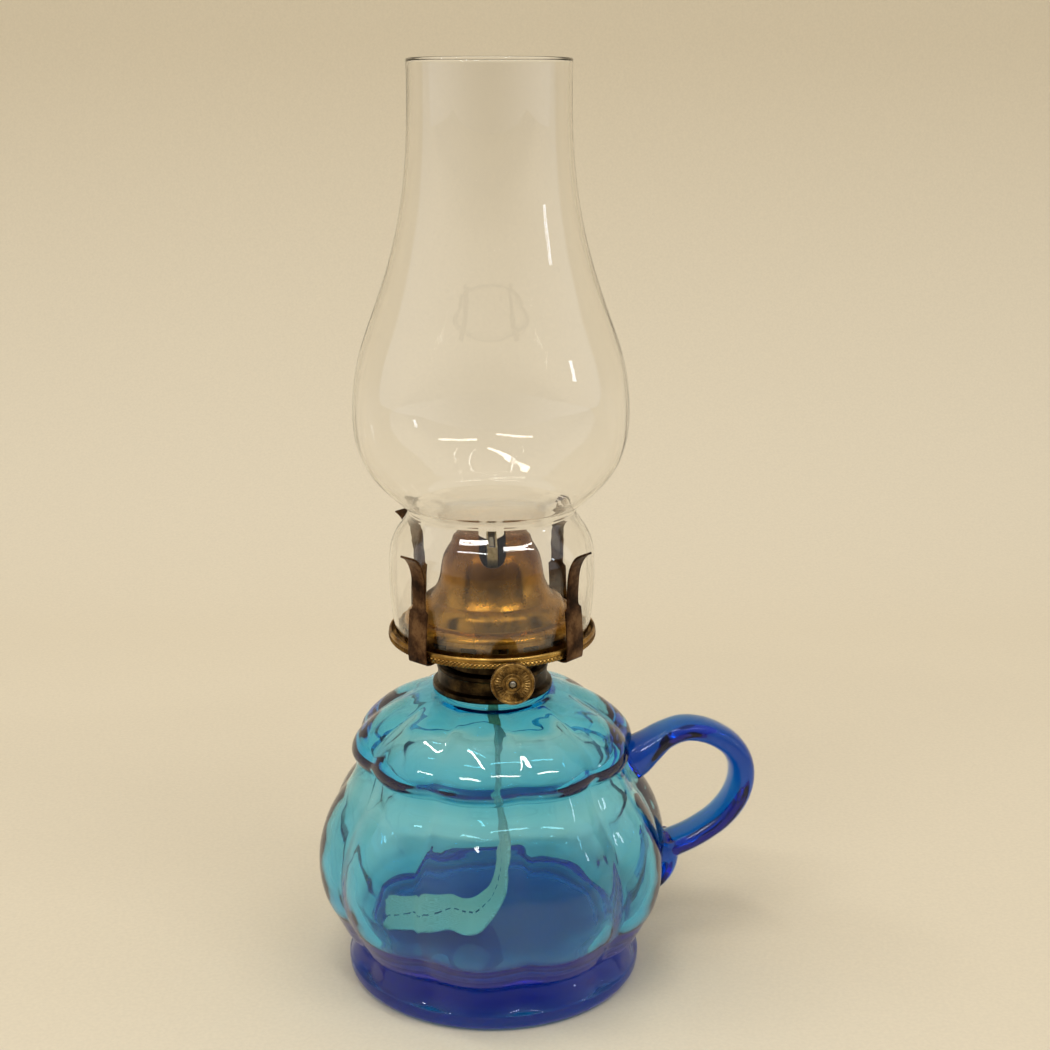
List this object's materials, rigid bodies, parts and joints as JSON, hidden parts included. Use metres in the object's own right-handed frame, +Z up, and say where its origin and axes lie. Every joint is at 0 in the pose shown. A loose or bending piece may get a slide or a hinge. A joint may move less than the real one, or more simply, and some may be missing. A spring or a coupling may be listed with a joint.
{
  "type": "finger lamp",
  "caption": "Blue lobed glass finger lamp with a strap handle, brass collar, pronged flat-wick burner and clear bulged glass chimney.",
  "frame": {"origin": "on the lamp's axis, in the plane of the foot's flat ground underside, which stands on the table", "axes": "+Z up the lamp's axis to the chimney's rim, +X from the axis to the strap handle, +Y to the side away from the thumb wheel"},
  "size_m": [0.1714, 0.1342, 0.3498],
  "materials": {
    "blue_glass": "glossy turquoise blue glass, cobalt where it is thick",
    "cobalt_glass": "glossy thick cobalt blue glass",
    "clear_glass": "clear thin blown glass with a faint straw tint",
    "aged_brass": "aged brass, browned in its hollows and rubbed on its edges",
    "dark_brass": "dark brown patinated spring brass",
    "steel_wire": "dull steel",
    "plaster": "dull plaster of Paris",
    "cotton": "woven cotton wick"
  },
  "bodies": {
    "font": {"font": "blue_glass", "finger_handle": "cobalt_glass", "collar": "aged_brass", "collar_cement": "plaster"},
    "burner": {"burner_shell": "aged_brass", "gallery": "aged_brass", "air_ring": "aged_brass", "flame_deflector": "aged_brass", "wick_tube": "aged_brass", "prong_front_left": "dark_brass", "prong_front_right": "dark_brass", "prong_back_right": "dark_brass", "prong_back_left": "dark_brass", "prong_rivet_front_left": "dark_brass", "prong_rivet_front_right": "dark_brass", "prong_rivet_back_right": "dark_brass", "prong_rivet_back_left": "dark_brass", "wick_tail": "cotton"},
    "raiser": {"raiser_shaft": "steel_wire", "spur_wheel_front": "aged_brass", "spur_wheel_back": "aged_brass", "thumb_wheel": "aged_brass"},
    "wick": {"wick": "cotton"},
    "chimney": {"chimney": "clear_glass"}
  },
  "joints": [
    {"name": "burner_lift", "type": "slide", "parent": "font", "child": "burner", "axis": [0, 0, 1], "range_m": [0, 0.025]},
    {"name": "chimney_lift", "type": "slide", "parent": "burner", "child": "chimney", "axis": [0, 0, 1], "range_m": [0, 0.06]},
    {"name": "knob_turn", "type": "hinge", "parent": "burner", "child": "raiser", "pos_m": [0.00644, -0.0009, 0.1341], "axis": [0.1392, 0.9903, 0], "range_deg": [-57, 57]},
    {"name": "wick_raise", "type": "slide", "parent": "burner", "child": "wick", "axis": [0, 0, 1], "range_m": [-0.005, 0.005]}
  ],
  "couplings": [
    {"joint": "wick_raise", "follows": "knob_turn", "m_per_rad": 0.0048}
  ]
}
